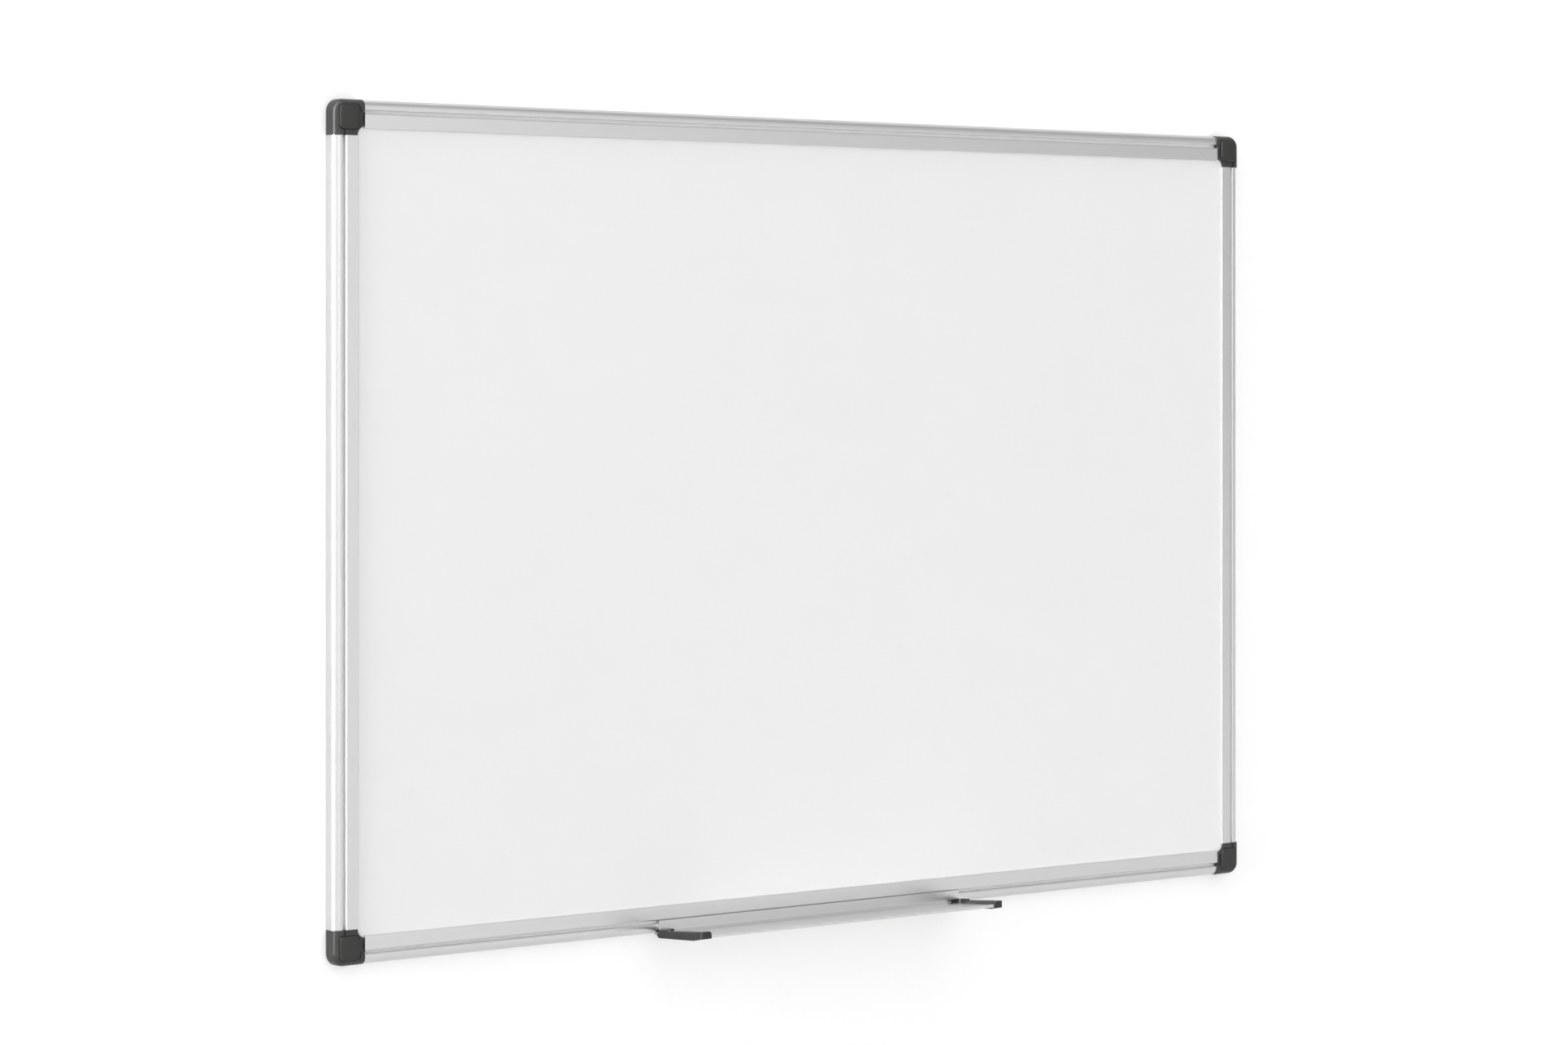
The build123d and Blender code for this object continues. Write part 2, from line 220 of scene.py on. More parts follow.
level_sides = ("bottom", "top")
silver_dark, silver_light = (0.78, 0.78, 0.785), (0.84, 0.84, 0.845)
# The groove's paler greys below are painted light that lifts the shade inside the groove.
painted_light_groove_dark, painted_light_groove_light = (0.90, 0.90, 0.90), (0.95, 0.95, 0.95)
die_lines_across, die_lines_along = 900.0, 1.2
line_relief = 0.0000015
rail_clouds_per_metre, groove_grain_per_metre = 9.0, 1500.0


def drawn_along(axis):
    """Anodised aluminium whose die lines run along one axis: noise pressed together across it."""

    def anodising(place):
        """The die lines over soft clouds, in the grey, the gloss and a very low relief."""
        per_metre = [die_lines_across] * 3
        per_metre[axis] = die_lines_along
        lines = place.stretched(per_metre).noise(1.0, detail=2.0, roughness=0.7)
        clouds = place.noise(rail_clouds_per_metre)
        return {
            "Base Color": (lines * 0.6 + clouds * 0.4).between(silver_dark, silver_light),
            "Roughness": lines * 0.05 + 0.282,
            "Normal": lines.bump(line_relief),
        }

    return anodising


def groove_with_painted_light(place):
    """Painted light in the groove: a paler grey than the rail's, against the shade inside it, with a duller
    gloss.
    """
    groove_grain = place.noise(groove_grain_per_metre, detail=2.0)
    return {
        "Base Color": groove_grain.between(painted_light_groove_dark, painted_light_groove_light),
        "Roughness": groove_grain * 0.1 + 0.5,
        "Normal": groove_grain.bump(fine_relief),
    }


def closed_skin(name, grids, material):
    """One mesh from grids of points, each rows x columns x 3 in metres. The columns close on themselves,
    and the first and last rows are closed by a face."""
    points, faces, start = [], [], 0
    for grid in grids:
        rows, columns = grid.shape[:2]
        row, column = np.meshgrid(np.arange(rows - 1), np.arange(columns), indexing="ij")
        following = (column + 1) % columns
        quads = [row * columns + column, row * columns + following]
        quads += [(row + 1) * columns + following, (row + 1) * columns + column]
        faces += (np.stack(quads, -1).reshape(-1, 4) + start).tolist()
        ends = np.arange(columns) + start
        faces += [ends[::-1].tolist(), (ends + (rows - 1) * columns).tolist()]
        points.append(grid.reshape(-1, 3))
        start += rows * columns
    mesh = bpy.data.meshes.new(name)
    mesh.from_pydata(np.concatenate(points).tolist(), [], faces)
    form = bmesh.new()
    form.from_mesh(mesh)
    bmesh.ops.remove_doubles(form, verts=form.verts, dist=weld)
    bmesh.ops.recalc_face_normals(form, faces=form.faces)
    form.to_mesh(mesh)
    form.free()
    mesh.shade_smooth()
    mesh.set_sharp_from_angle(angle=skin_sharp_angle)
    mesh.materials.append(material)
    piece = bpy.data.objects.new(name, mesh)
    bpy.context.scene.collection.objects.link(piece)
    return piece


def trimmed(piece, cutter):
    """Takes the cutter out of the piece's mesh."""
    trim = piece.modifiers.new("trim", "BOOLEAN")
    trim.operation = "DIFFERENCE"
    trim.solver = "EXACT"
    trim.object = cutter
    whole = piece.data
    with_trim = piece.evaluated_get(bpy.context.evaluated_depsgraph_get())
    piece.data = bpy.data.meshes.new_from_object(with_trim)
    piece.modifiers.clear()
    bpy.data.meshes.remove(whole)
    bpy.data.objects.remove(cutter)
    piece.data.name = piece.name


def rounded_outline(corners):
    """A closed outline from corners, each (across, depth, radius), and the corner that each of its points
    belongs to. A corner with a radius becomes an arc that touches both its sides: its centre is on their
    bisector, and its points turn evenly from one to the other. A narrow strip on each side of it keeps the
    straights flat."""
    spots = np.array(corners)[:, :2]
    outline, owners = [], []
    for number, (spot, radius) in enumerate(zip(spots, np.array(corners)[:, 2])):
        back, ahead = spots[number - 1] - spot, spots[(number + 1) % len(spots)] - spot
        back, ahead = back / np.linalg.norm(back), ahead / np.linalg.norm(ahead)
        half = np.arccos(back @ ahead) / 2
        whole = np.pi - 2 * half
        centre = spot + (back + ahead) / np.linalg.norm(back + ahead) * radius / np.sin(half)
        turn = np.linspace(0, whole, int(arc_points + arc_points_per_mm * radius))[:, None]
        start, end = spot + (back, ahead) * np.array(radius / np.tan(half)) - centre
        arc = centre + (start * np.sin(whole - turn) + end * np.sin(turn)) / np.sin(whole)
        strip = beside_arc * (radius > 0)
        arc = np.concatenate([arc[:1] + back * strip, arc, arc[-1:] + ahead * strip])
        arc = arc if radius else arc[:1]
        outline.append(arc)
        owners += [number] * len(arc)
    return np.concatenate(outline).T, np.array(owners)


def set_on_side(across, depth, along, side):
    """Points given by distance from the board's outer edge, depth from the wall, and place along one of its
    sides from the middle: x or z is half the board less the distance, and y is the depth towards the room."""
    across, depth, along = np.broadcast_arrays(across, depth, along)
    edge = (board_height if side in level_sides else board_width) / 2
    out = (across - edge) * (1 if side in ("left", "bottom") else -1)
    x, z = (along, out) if side in level_sides else (out, along)
    return np.stack([x, -depth, z], -1) * metres


def screw_seats(side, along):
    """The two countersunk holes in a level rail's back wall: straight cones about the screws' lines, whose
    radius falls evenly with the depth."""
    depth = np.array([-seat_overrun, rail_wall + seat_overrun])[:, None]
    angle = np.linspace(0, 2 * np.pi, seat_points, endpoint=False)
    radius = seat_r + (seat_low_r - seat_r) * depth / rail_wall
    across = (rail_wall + groove_back) / 2 + radius * np.sin(angle)
    return [set_on_side(across, depth, spot + radius * np.cos(angle), side) for spot in (-along, along)]


inner = groove_back + rail_wall
rail_outline = [(0, 0, edge_r), (0, crest, shoulder_r), (groove_start, crest, brow_r)]
rail_outline += [(groove_start, groove_floor, 0), (groove_back, groove_floor, 0), (groove_back, lip_under, 0)]
rail_outline += [(groove_end, lip_under, 0), (groove_end, band, brow_r), (rail_face, band, edge_r)]
rail_outline += [(rail_face, lip_under, 0), (inner, lip_under, 0), (inner, rail_wall, 0)]
rail_outline += [(back_flange, rail_wall, 0), (back_flange, 0, 0)]
# The outline's corners between which the groove lies, counted from 0
first_in_groove, last_in_groove = 3, 6
rail_chamber = [(rail_wall, rail_wall, 0), (rail_wall, crest - rail_wall, shoulder_r - rail_wall)]
rail_chamber += [(groove_start - rail_wall, crest - rail_wall, 0)]
rail_chamber += [(groove_start - rail_wall, groove_floor - rail_wall, 0)]
rail_chamber += [(groove_back, groove_floor - rail_wall, 0), (groove_back, rail_wall, 0)]
level_anodising = finish("level_anodising", drawn_along(0), Metallic=1.0)
upright_anodising = finish("upright_anodising", drawn_along(2), Metallic=1.0)
# The groove's faces get a paler finish: painted light against the shade inside the groove.
groove_painted_light_anodising = finish("groove_painted_light_anodising", groove_with_painted_light)
(across, depth), owners = rounded_outline(rail_outline)
(across_chamber, depth_chamber), _ = rounded_outline(rail_chamber)
for side in ("bottom", "top", "left", "right"):
    anodising = level_anodising if side in level_sides else upright_anodising
    end = (board_width if side in level_sides else board_height) / 2 - corner_size
    skin = set_on_side(across, depth, np.array([[-end], [end]]), side)
    rail = closed_skin(f"extrusion_{side}", [skin], anodising)
    rail.data.materials.append(groove_painted_light_anodising)
    # The faces along the rail come first, one after each point of the outline
    in_groove = (np.roll(owners, -1) >= first_in_groove) & (owners <= last_in_groove)
    slots = np.zeros(len(rail.data.polygons), int)
    slots[: len(owners)] = in_groove
    rail.data.polygons.foreach_set("material_index", slots)
    past_end = end + chamber_overrun
    core = set_on_side(across_chamber, depth_chamber, np.array([[-past_end], [past_end]]), side)
    trimmed(rail, closed_skin("chamber", [core], anodising))
    if side in level_sides:
        trimmed(rail, closed_skin("seats", screw_seats(side, end - seat_inset), anodising))
    rail.data.shade_smooth()
    rail.data.set_sharp_from_angle(angle=sharp_angle)
    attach(rail, "frame")
    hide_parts(f"rail_{side}")


# Corner pieces: dark grey mouldings that plug into the rails. The mould was spark-eroded, so the surface has
# a fine even grain, and handling has polished it a little.
corner_front, corner_proud = 11.2, 0.2
corner_r, corner_shoulder_r = 9.0, 5.2
corner_edge, edge_steps = 0.3, 3
waste_overrun = 1.0
shoulder_angles = (2, 88)
shoulder_points, bend_points = 16, 33
flat_angle = math.radians(0.5)
corner_dark, corner_light = 0.027, 0.040
spark_per_metre, handling_per_metre = 2400.0, 60.0
warm_grey = (1.0, 0.98, 0.95)
places = [f"{level}_{side}" for level in level_sides for side in ("left", "right")]


def moulded(dark, light):
    """Moulded plastic between two greys, both a very little warm."""

    def spark_eroded(place):
        """A fine even grain, and soft patches where handling changed the grey and the gloss."""
        spark = place.noise(spark_per_metre, detail=2.0)
        handled = place.noise(handling_per_metre, detail=4.0)
        darkest, lightest = [[grey * share for share in warm_grey] for grey in (dark, light)]
        return {
            "Base Color": (spark * 0.5 + handled * 0.5).between(darkest, lightest),
            "Roughness": handled * 0.1 + spark * 0.08 + 0.25,
            "Normal": spark.bump(fine_relief),
        }

    return spark_eroded


def softened(name, node, material, body, edge, cutter=None):
    """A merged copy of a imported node, trimmed by a cutter, with its sharp edges rounded by so many
    millimetres. It stands for the node."""
    mesh = nodes[node].data.copy()
    mesh.name = name
    form = bmesh.new()
    form.from_mesh(mesh)
    bmesh.ops.remove_doubles(form, verts=form.verts, dist=weld)
    bmesh.ops.dissolve_limit(form, angle_limit=flat_angle, verts=form.verts, edges=form.edges)
    form.to_mesh(mesh)
    form.free()
    if "custom_normal" in mesh.attributes:
        mesh.attributes.remove(mesh.attributes["custom_normal"])
    piece = bpy.data.objects.new(name, mesh)
    bpy.context.scene.collection.objects.link(piece)
    if cutter is not None:
        trimmed(piece, cutter)
        mesh = piece.data
    mesh.shade_smooth()
    mesh.set_sharp_from_angle(angle=sharp_angle)
    rounding = piece.modifiers.new("rounding", "BEVEL")
    rounding.width = edge * metres
    rounding.segments = edge_steps
    rounding.limit_method = "ANGLE"
    rounding.angle_limit = sharp_angle
    rounding.harden_normals = True
    mesh.materials.clear()
    mesh.materials.append(material)
    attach(piece, body)
    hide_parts(node)
    return piece


def set_in_corner(grid, place):
    """A grid drawn as (X and Z from the board's outer edges, depth from the wall), set in one of its
    corners: each of X and Z is taken from half the board, and mirrored for a right or an upper corner."""
    from_left, from_bottom, depth = np.moveaxis(grid, -1, 0)
    x = (from_left - board_width / 2) * (1 if place.endswith("left") else -1)
    z = (from_bottom - board_height / 2) * (1 if place.startswith("bottom") else -1)
    return np.stack([x, -depth, z], -1) * metres


def shoulder_waste():
    """What the mould leaves outside the round shoulder: a section carried along the corner's outer sides.
    The section is the quarter circle, closed by a point outside the corner. The path is a straight, a
    quarter circle about the corner's upright edge, and a straight."""
    turn = np.radians(np.linspace(*shoulder_angles, shoulder_points))
    inward = np.append(corner_shoulder_r * (1 - np.sin(turn)), -waste_overrun)
    height = corner_front - corner_shoulder_r * (1 - np.cos(turn))
    height = np.append(height, corner_front + waste_overrun)
    bend = np.radians(np.linspace(0, 90, bend_points))
    middle = corner_r - corner_proud
    path = np.stack([middle - corner_r * np.cos(bend), middle - corner_r * np.sin(bend)], -1)
    inwards = np.stack([np.cos(bend), np.sin(bend)], -1)
    past_end = corner_size + waste_overrun
    path = np.concatenate([[(-corner_proud, past_end)], path, [(past_end, -corner_proud)]])
    inwards = np.concatenate([inwards[:1], inwards, inwards[-1:]])
    plan = path[:, None] + inwards[:, None] * inward[None, :, None]
    return np.concatenate([plan, np.broadcast_to(height[None, :, None], (*plan.shape[:2], 1))], -1)


corner_grey = finish("corner_grey", moulded(corner_dark, corner_light))
for place in places:
    waste = closed_skin("waste", [set_in_corner(shoulder_waste(), place)], corner_grey)
    name, node = f"corner_moulding_{place}", f"corner_{place}"
    softened(name, node, corner_grey, "frame", corner_edge, waste)


# Frame screws: small countersunk screws, zinc plated, driven from the back through the level rails into the
# corner pieces' legs. Each has a cross recess and a cut thread.
screw_head_r, screw_shank_r, screw_core_r = 2.6, 1.3, 1.05
screw_head_t, screw_length = 1.2, 5.4
thread_pitch, thread_start, thread_share = 1.0, 0.2, 0.5
point_length, point_least_share = 1.2, 0.15
cross_reach, cross_half_width, cross_depth = 1.3, 0.3, 0.7
flank_out, flank_run = 0.08, 0.12
end_out, end_run = 0.1, 0.25
centre_share = 0.04
plating_dark, plating_light = (0.62, 0.63, 0.65), (0.76, 0.76, 0.74)
haze_per_metre = 700.0
face_rings, slope_rings, thread_rings, ring_points = 34, 4, 60, 72
rim_depths, slope_start, shank_start = (0.02, 0.1), 0.14, 1.25
turn_angles = np.linspace(0, 2 * np.pi, ring_points, endpoint=False)


def zinc_plating(place):
    """A soft haze in the plating's colour and gloss."""
    haze = place.noise(haze_per_metre)
    return {
        "Base Color": haze.between(plating_dark, plating_light),
        "Roughness": haze * 0.2 + 0.2,
        "Normal": haze.bump(fine_relief),
    }


def skinned(name, grids, material, body, slot, *stood_for):
    """A piece of closed skins, riding on a body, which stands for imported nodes."""
    piece = closed_skin(name, grids, material)
    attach(piece, body)
    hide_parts(*stood_for)


def screw_face():
    """The head's flat face with its cross recess: rings of radius r at angle a. The depth is the recess's
    depth where the nearer of x and y is within the slot's half width and the farther within its reach,
    with short slopes."""
    radius = np.linspace(centre_share, 1, face_rings) * screw_head_r
    ring, angle = np.meshgrid(radius, turn_angles, indexing="ij")
    x, z = ring * np.cos(angle), ring * np.sin(angle)
    nearer, farther = np.minimum(abs(x), abs(z)), np.maximum(abs(x), abs(z))
    across = np.clip((cross_half_width + flank_out - nearer) / flank_run, 0, 1)
    along = np.clip((cross_reach + end_out - farther) / end_run, 0, 1)
    return np.stack([x, across * along * cross_depth, z], -1)


def screw_body():
    """From the head's edge to the point: the countersink's straight slope, then a shank that fades into the
    point. Its radius rises from the core to the crest and back once per pitch as the angle turns, over a
    share of the pitch."""
    head = np.linspace(slope_start, screw_head_t, slope_rings)
    shank = np.linspace(shank_start, screw_length, thread_rings)
    depth = np.concatenate([rim_depths, head, shank])
    depth, angle = np.meshgrid(depth, turn_angles, indexing="ij")
    slope = screw_head_r + (screw_core_r - screw_head_r) * np.clip(depth / screw_head_t, 0, 1)
    phase = (depth / thread_pitch + angle / (2 * np.pi)) % 1
    crest = np.clip(1 - abs(phase - 0.5) * 2 / thread_share, 0, 1) * (depth > screw_head_t + thread_start)
    point = np.clip((screw_length - depth) / point_length, point_least_share, 1)
    thread = (screw_core_r + crest * (screw_shank_r - screw_core_r)) * point
    radius = np.where(depth <= screw_head_t, slope, thread)
    return np.stack([radius * np.cos(angle), depth, radius * np.sin(angle)], -1)


zinc_screws = finish("zinc_plating", zinc_plating, Metallic=1.0)
for level in level_sides:
    screw_low, screw_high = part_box(f"frame_screws_{level}")
    middle_z = (screw_low[2] + screw_high[2]) / 2
    one_screw = np.concatenate([screw_face(), screw_body()]) * (metres, -metres, metres)
    spots = [screw_low[0] + screw_head_r * metres, screw_high[0] - screw_head_r * metres]
    turned = [one_screw + (spot, 0, middle_z) for spot in spots]
    skinned(f"screws_{level}", turned, zinc_screws, "frame", "zinc_plated_screw", f"frame_screws_{level}")


# Screw caps: snap-in covers over the wall screws, moulded in the same grey, with a smoother face. Each has a
# thin crowned lid, and four prongs that go into the head pocket of its corner piece.
cap_low, cap_high = 3.8, 20.8
cap_bottom, cap_top = 10.25, 12.0
cap_round, cap_inner_round = 2.7, 4.97
cap_edge_round, cap_foot_round = 0.85, 0.15
cap_crown = 0.22
cap_centre_share, cap_under_shares = 0.02, (0.02, 0.5, 1.0)
quarter_points, edge_rings, crown_rings = 26, 9, 16
prong_middle = 8.2
prong_inside, prong_outside, prong_half_width = 2.97, 3.97, 1.2
prong_length, prong_sunk = 1.6, 0.3
prong_tip_steps, prong_tip_shares = (0, 0.12, 0.4), (0.66, 0.86, 1, 1)
prong_points, prong_roundness = 24, 0.4
cap_dark, cap_light = (0.022, 0.0215, 0.0205), (0.030, 0.0295, 0.028)
cap_spark_per_metre, cap_handling_per_metre = 3200.0, 90.0
cap_relief = 0.000006


def cap_face(place):
    """The same plastic with a finer grain, and soft patches of another gloss."""
    spark = place.noise(cap_spark_per_metre, detail=2.0)
    handled = place.noise(cap_handling_per_metre, detail=4.0)
    return {
        "Base Color": handled.between(cap_dark, cap_light),
        "Roughness": handled * 0.14 + spark * 0.06 + 0.22,
        "Normal": spark.bump(cap_relief),
    }


def cap_outline():
    """The lid's outline, with its outward directions: quarter circles at the four corners of a square, the
    one beside the board's sheet with a larger radius."""
    corners = [(cap_low, cap_low, cap_round, 180), (cap_high, cap_low, cap_round, 270)]
    corners += [(cap_high, cap_high, cap_inner_round, 0), (cap_low, cap_high, cap_round, 90)]
    x, z, radius, first = np.array(corners, float).T[:, :, None]
    centre_x = x + np.where(x < prong_middle, radius, -radius)
    centre_z = z + np.where(z < prong_middle, radius, -radius)
    angle = np.radians(first + np.linspace(0, 90, quarter_points))
    outward = np.stack([np.cos(angle), np.sin(angle)], -1).reshape(-1, 2)
    spots = np.stack([centre_x + radius * np.cos(angle), centre_z + radius * np.sin(angle)], -1)
    return spots.reshape(-1, 2), outward


def cap_plate():
    """Rings from the underside's middle, out to the side, up over a quarter-round edge, and in to the middle
    of the face, which is crowned: its height is the rim's plus the crown times one minus the square of the
    share of the way out from the middle."""
    outline, outward = cap_outline()
    flat_ring = np.zeros((len(outline), 1))
    middle = np.full(2, (cap_low + cap_high) / 2)
    foot = outline - outward * cap_foot_round
    under = middle + (foot - middle) * np.array(cap_under_shares)[:, None, None]
    under_height = np.full((len(under), len(outline), 1), cap_bottom)
    turn = np.radians(np.linspace(0, 90, edge_rings))[:, None, None]
    edge = outline - outward * cap_edge_round * (1 - np.cos(turn))
    edge_height = cap_top - cap_crown - cap_edge_round * (1 - np.sin(turn)) + flat_ring
    share = np.linspace(1, cap_centre_share, crown_rings)[1:, None, None]
    face = middle + (edge[-1] - middle) * share
    face_height = cap_top - cap_crown * share**2 + flat_ring
    plan = np.concatenate([under, outline[None], edge, face])
    side_height = flat_ring[None] + cap_bottom + cap_foot_round
    height = np.concatenate([under_height, side_height, edge_height, face_height])
    return np.concatenate([plan, height], -1)


def cap_prong(quarter):
    """One prong under the plate, carried straight down with its tip drawn in. Its section is a rounded
    rectangle: the cosine and the sine of the turn, each raised to a small power with its sign kept, times
    the half sizes."""
    turn = np.linspace(0, 2 * np.pi, prong_points, endpoint=False) + np.pi / prong_points
    square = np.stack([np.cos(turn), np.sin(turn)], -1)
    square = np.sign(square) * abs(square) ** prong_roundness
    square /= abs(square).max(0)
    half = np.array([(prong_outside - prong_inside) / 2, prong_half_width])
    steps = np.array(prong_tip_steps) + cap_bottom - prong_length
    height = np.append(steps, cap_bottom + prong_sunk)
    draw = np.array(prong_tip_shares)[:, None, None]
    plan = square * half * draw + ((prong_inside + prong_outside) / 2, 0)
    turn = np.radians(90 * quarter)
    x = plan[..., 0] * np.cos(turn) - plan[..., 1] * np.sin(turn) + prong_middle
    z = plan[..., 0] * np.sin(turn) + plan[..., 1] * np.cos(turn) + prong_middle
    return np.stack([x, z, np.broadcast_to(height[:, None], x.shape)], -1)


cap_grey = finish("cap_grey", cap_face)
for place in places:
    grids = [cap_plate(), *[cap_prong(quarter) for quarter in range(4)]]
    grids = [set_in_corner(grid, place) for grid in grids]
    skinned(f"lid_{place}", grids, cap_grey, f"cap_{place}", "cap_plastic", f"screw_cap_{place}")


# Pen tray: one more anodised extrusion, sawn square. Its barbed hook hangs in the bottom rail's groove, its
# flange lies before the rail's crest, a leg stands under the frame, and its shelf rises a little to the lip.
tray_wall, tray_gap, tray_reach = 1.2, 0.15, 60.0
tray_from, tray_to = -161.0, 137.0
hook_low, stem_high, flange_high, barb_high = 7.45, 8.45, 9.46, 9.75
hook_tip, barb_end = 7.1, 7.9
leg_back = 4.8
lip_wall, lip_height = 1.5, 1.4
shelf_angle = math.radians(2.6)
flange_back = crest + tray_gap
flange_front = flange_back + tray_wall
flange_r, bend_r, lip_foot_r, lip_r, toe_r = 0.2, 3.0, 0.7, 0.5, 0.3
lip_back = tray_reach - lip_wall
shelf_rise = math.tan(shelf_angle)
shelf_front = (lip_back - flange_front) * shelf_rise - tray_gap
lip_top = shelf_front + lip_height
sole = -tray_gap - tray_wall
sole_front = sole + (tray_reach - flange_front) * shelf_rise
tray_outline = [(hook_low, hook_tip, 0), (barb_high, hook_tip, 0), (barb_high, barb_end, 0)]
tray_outline += [(stem_high, barb_end, 0), (stem_high, flange_back, 0), (flange_high, flange_back, 0)]
tray_outline += [(flange_high, flange_front, flange_r), (-tray_gap, flange_front, bend_r)]
tray_outline += [(shelf_front, lip_back, lip_foot_r), (lip_top, lip_back, lip_r)]
tray_outline += [(lip_top, tray_reach, lip_r), (sole_front, tray_reach, toe_r), (sole, flange_front, 0)]
tray_outline += [(sole, leg_back, 0), (-tray_gap, leg_back, 0), (-tray_gap, flange_back, 0)]
tray_outline += [(hook_low, flange_back, 0)]
(tray_height, tray_depth), _ = rounded_outline(tray_outline)
skin = set_on_side(tray_height, tray_depth, np.array([[tray_from], [tray_to]]), "bottom")
skinned("tray_extrusion", [skin], level_anodising, "tray", "anodised_aluminium", "pen_tray")


# Tray end caps: mouldings like the corners, a little darker, pushed onto the tray's ends. The free end of
# each nose, which turns in front of the tray's lip, is rounded at the top. Its places are taken from the
# tray's end, from the wall and from the frame's lower edge.
tray_cap_edge = 0.6
nose_r, nose_steps, nose_reach = 1.6, 6, 8.0
nose_back, nose_top = 56.0, 5.1
tray_dark, tray_light = 0.016, 0.024


def at_nose_top(spot, tip):
    """Whether a point lies on the nose's free end, in front of the lip and at the top."""
    in_front = -spot.y > nose_back * metres
    high = spot.z > (nose_top - board_height / 2) * metres
    return abs(spot.x - tip) < weld and in_front and high


def blunted(piece, tip):
    """Rounds the nose's upper edge at its free end, whose place along the tray is given in metres."""
    form = bmesh.new()
    form.from_mesh(piece.data)
    upper = [line for line in form.edges if all(at_nose_top(corner.co, tip) for corner in line.verts)]
    reach = nose_r * metres
    bmesh.ops.bevel(
        form, geom=upper, offset=reach, segments=nose_steps, profile=0.5, affect="EDGES", clamp_overlap=True
    )
    form.to_mesh(piece.data)
    form.free()
    piece.data.shade_smooth()
    piece.data.set_sharp_from_angle(angle=sharp_angle)


tray_grey = finish("tray_grey", moulded(tray_dark, tray_light))
for side, tip in {"left": tray_from + nose_reach, "right": tray_to - nose_reach}.items():
    name, node = f"tray_cap_{side}", f"tray_end_{side}"
    cap = softened(name, node, tray_grey, "tray", tray_cap_edge)
    blunted(cap, tip * metres)


# The room: a white wall right behind the board, and a pale floor. Both are seen from their front only, so
# that the back of the board can be looked at too. Sizes from here on are in metres.
room_width, room_height, room_depth = 40.0, 10.0, 30.0
floor_drop = -1.5
wall_gap = 0.001
wall_colour, wall_lift, wall_lift_in_gloss = (0.74, 0.74, 0.74), 0.36, 0.1
floor_colour, floor_lift, floor_lift_in_gloss = (0.42, 0.42, 0.415), 0.04, 0.04


def plain_sheet(name, low, across, up, material):
    """A flat sheet from one corner and its two sides."""
    corners = np.array([low, np.add(low, across), np.add(np.add(low, across), up), np.add(low, up)])
    mesh = bpy.data.meshes.new(name)
    mesh.from_pydata(corners.tolist(), [], [(0, 1, 2, 3)])
    mesh.materials.append(material)
    sheet = bpy.data.objects.new(name, mesh)
    bpy.context.scene.collection.objects.link(sheet)


def lit_for_show(name, colour, lift, lift_in_gloss):
    """A matte surface, a little brighter to the camera and in reflections, that isn't there from behind."""
    material = bpy.data.materials.new(name)
    material.use_nodes = True
    tree = material.node_tree
    tree.nodes.clear()
    behind = Tone(tree, None).add("NewGeometry", out="Backfacing")
    to_camera = behind.add("LightPath", out="Is Camera Ray")
    to_gloss = behind.add("LightPath", out="Is Glossy Ray")
    matte = behind.add("BsdfDiffuse", sockets={"Color": (*colour, 1)})
    shown = to_camera * lift + to_gloss * lift_in_gloss
    glow = behind.add("Emission", sockets={"Color": (1, 1, 1, 1), "Strength": shown})
    front = behind.add("AddShader", sockets={0: matte, 1: glow})
    clear = behind.add("BsdfTransparent")
    mixed = behind.add("MixShader", sockets={0: behind, 1: front, 2: clear})
    behind.add("OutputMaterial", sockets={"Surface": mixed}, out=None)
    return material


wall_white = lit_for_show("wall_white", wall_colour, wall_lift, wall_lift_in_gloss)
floor_pale = lit_for_show("floor_pale", floor_colour, floor_lift, floor_lift_in_gloss)
along_wall = (room_width, 0, 0)
wall_corner = (-room_width / 2, wall_gap, floor_drop)
floor_corner = (-room_width / 2, wall_gap - room_depth, floor_drop)
plain_sheet("wall", wall_corner, along_wall, (0, 0, room_height), wall_white)
plain_sheet("floor", floor_corner, along_wall, (0, room_depth, 0), floor_pale)


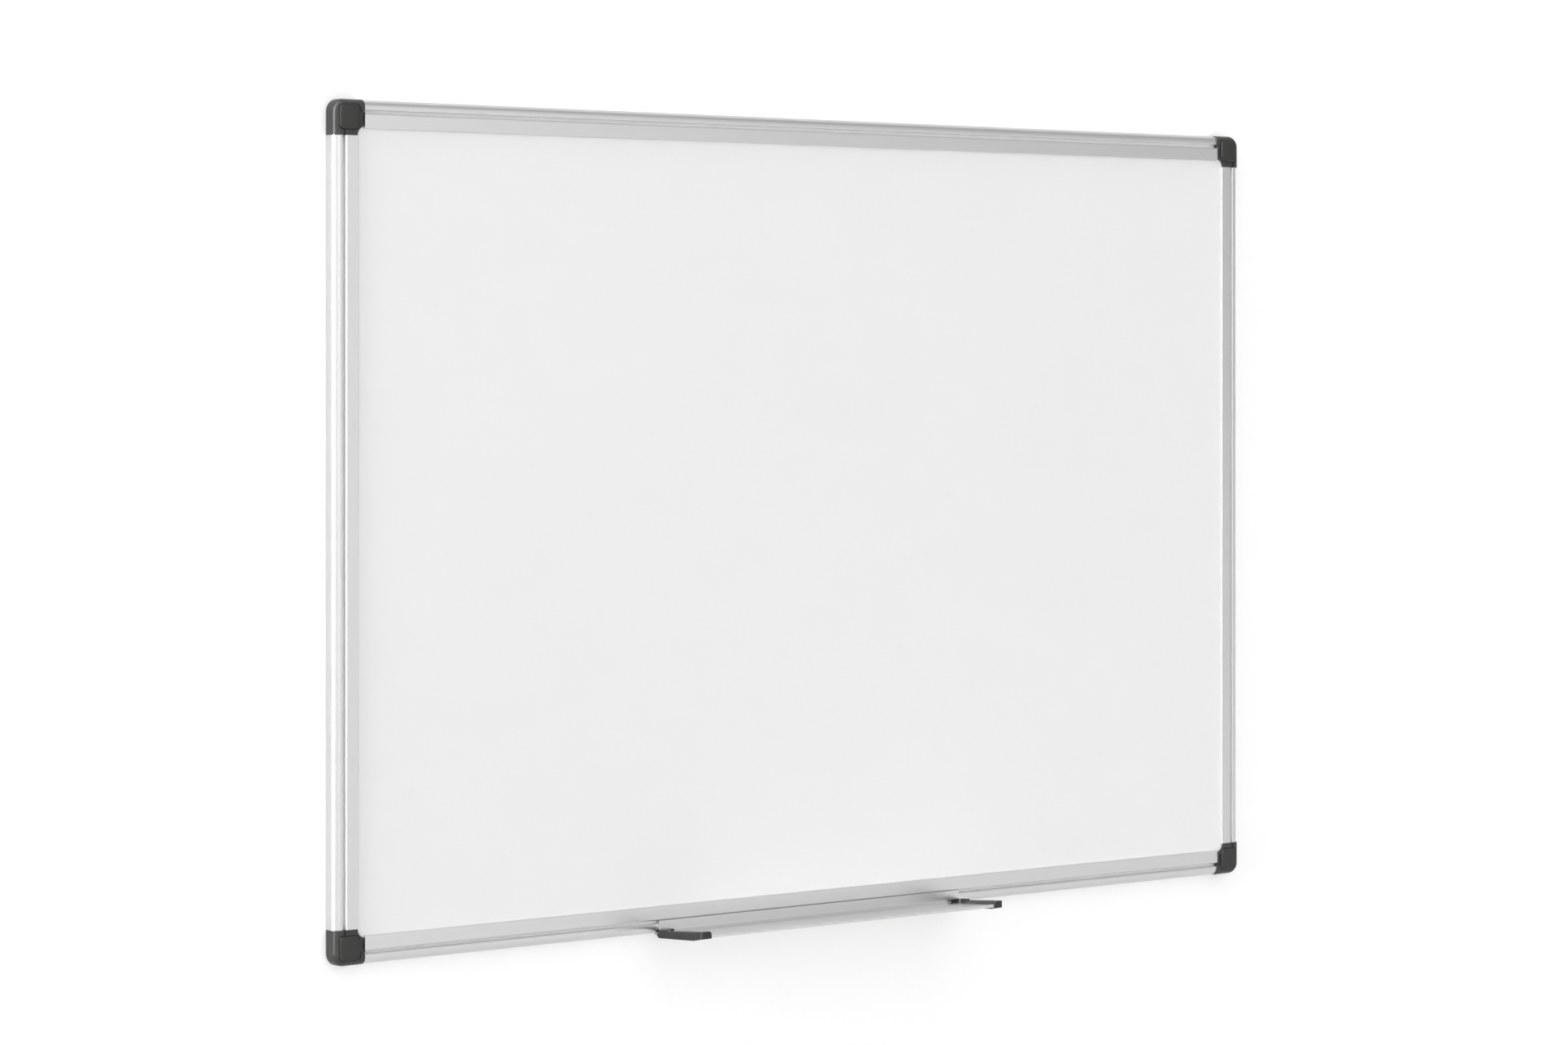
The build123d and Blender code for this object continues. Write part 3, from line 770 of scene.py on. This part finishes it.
# Studio light: one soft surround. A tall soft box stands at the board's left, almost level with the wall, and
# the room gets darker to the right and above it. Each level below is given with its bearing, in degrees from
# the board's outward direction, positive to the right.
bearing_levels = [(-180, 1.0), (-94, 1.5), (-92, 32.0), (-84, 32.0), (-81, 1.8), (-50, 1.0), (-40, 0.82)]
bearing_levels += [(-30, 0.85), (-15, 1.2), (15, 1.27), (30, 1.0), (37, 0.9), (42, 0.48), (46, 0.34)]
bearing_levels += [(50, 0.34), (65, 0.43), (90, 0.64), (130, 0.8), (180, 1.0)]
brightest = 32.0
studio_level = 1.23
loss_above, above_per_height, above_at_horizon = 0.2, 12, 0.2


def surround(place):
    """Brightness by bearing and height: a ramp over the bearing, a fifth less from just above the horizon."""
    east, north, height = [place.add("SeparateXYZ", sockets={0: place}, out=axis) for axis in "XYZ"]
    bearing = east.math("ARCTAN2", east, 0 - north) * (0.5 / math.pi) + 0.5
    stops = [((angle + 180) / 360, (level / brightest,) * 3) for angle, level in bearing_levels]
    ramp = bearing.add("ValToRGB", {"stops": stops}, {0: bearing})
    around = ramp.add("SeparateColor", sockets={0: ramp}, out="Red") * (brightest * studio_level)
    above = height.math("MAXIMUM", height * above_per_height + above_at_horizon, 0)
    above = above.math("MINIMUM", above, 1)
    return around * (1 - above * loss_above)


world = bpy.data.worlds.new("studio")
bpy.context.scene.world = world
world.use_nodes = True
studio = world.node_tree
studio.nodes.clear()
level = surround(Tone(studio, None).add("TexCoord", out="Generated"))
background = level.add("Background", sockets={"Color": (1, 1, 1, 1), "Strength": level})
background.add("OutputWorld", sockets={"Surface": background}, out=None)


# Camera: to the left of the board, a little above its middle, level, with a long lens and a vertical shift.
# Its focal length and its shift are in pixels of the photograph.
photo_width, focal_pixels, shift_pixels = 1920, 5742, -211.5
sensor_width = 36
camera_place = (-2.333, -2.660, 0.1264)
camera_bearing = math.radians(-40.87)
view_reach = 50
camera_data = bpy.data.cameras.new("camera")
camera = bpy.data.objects.new("camera", camera_data)
bpy.context.scene.collection.objects.link(camera)
bpy.context.scene.camera = camera
camera.location = camera_place
camera.rotation_euler = (math.radians(90), 0, camera_bearing)
camera_data.sensor_width = sensor_width
camera_data.lens = focal_pixels / photo_width * sensor_width
camera_data.shift_y = shift_pixels / photo_width
camera_data.clip_end = view_reach
bpy.context.scene.view_settings.view_transform = "Standard"
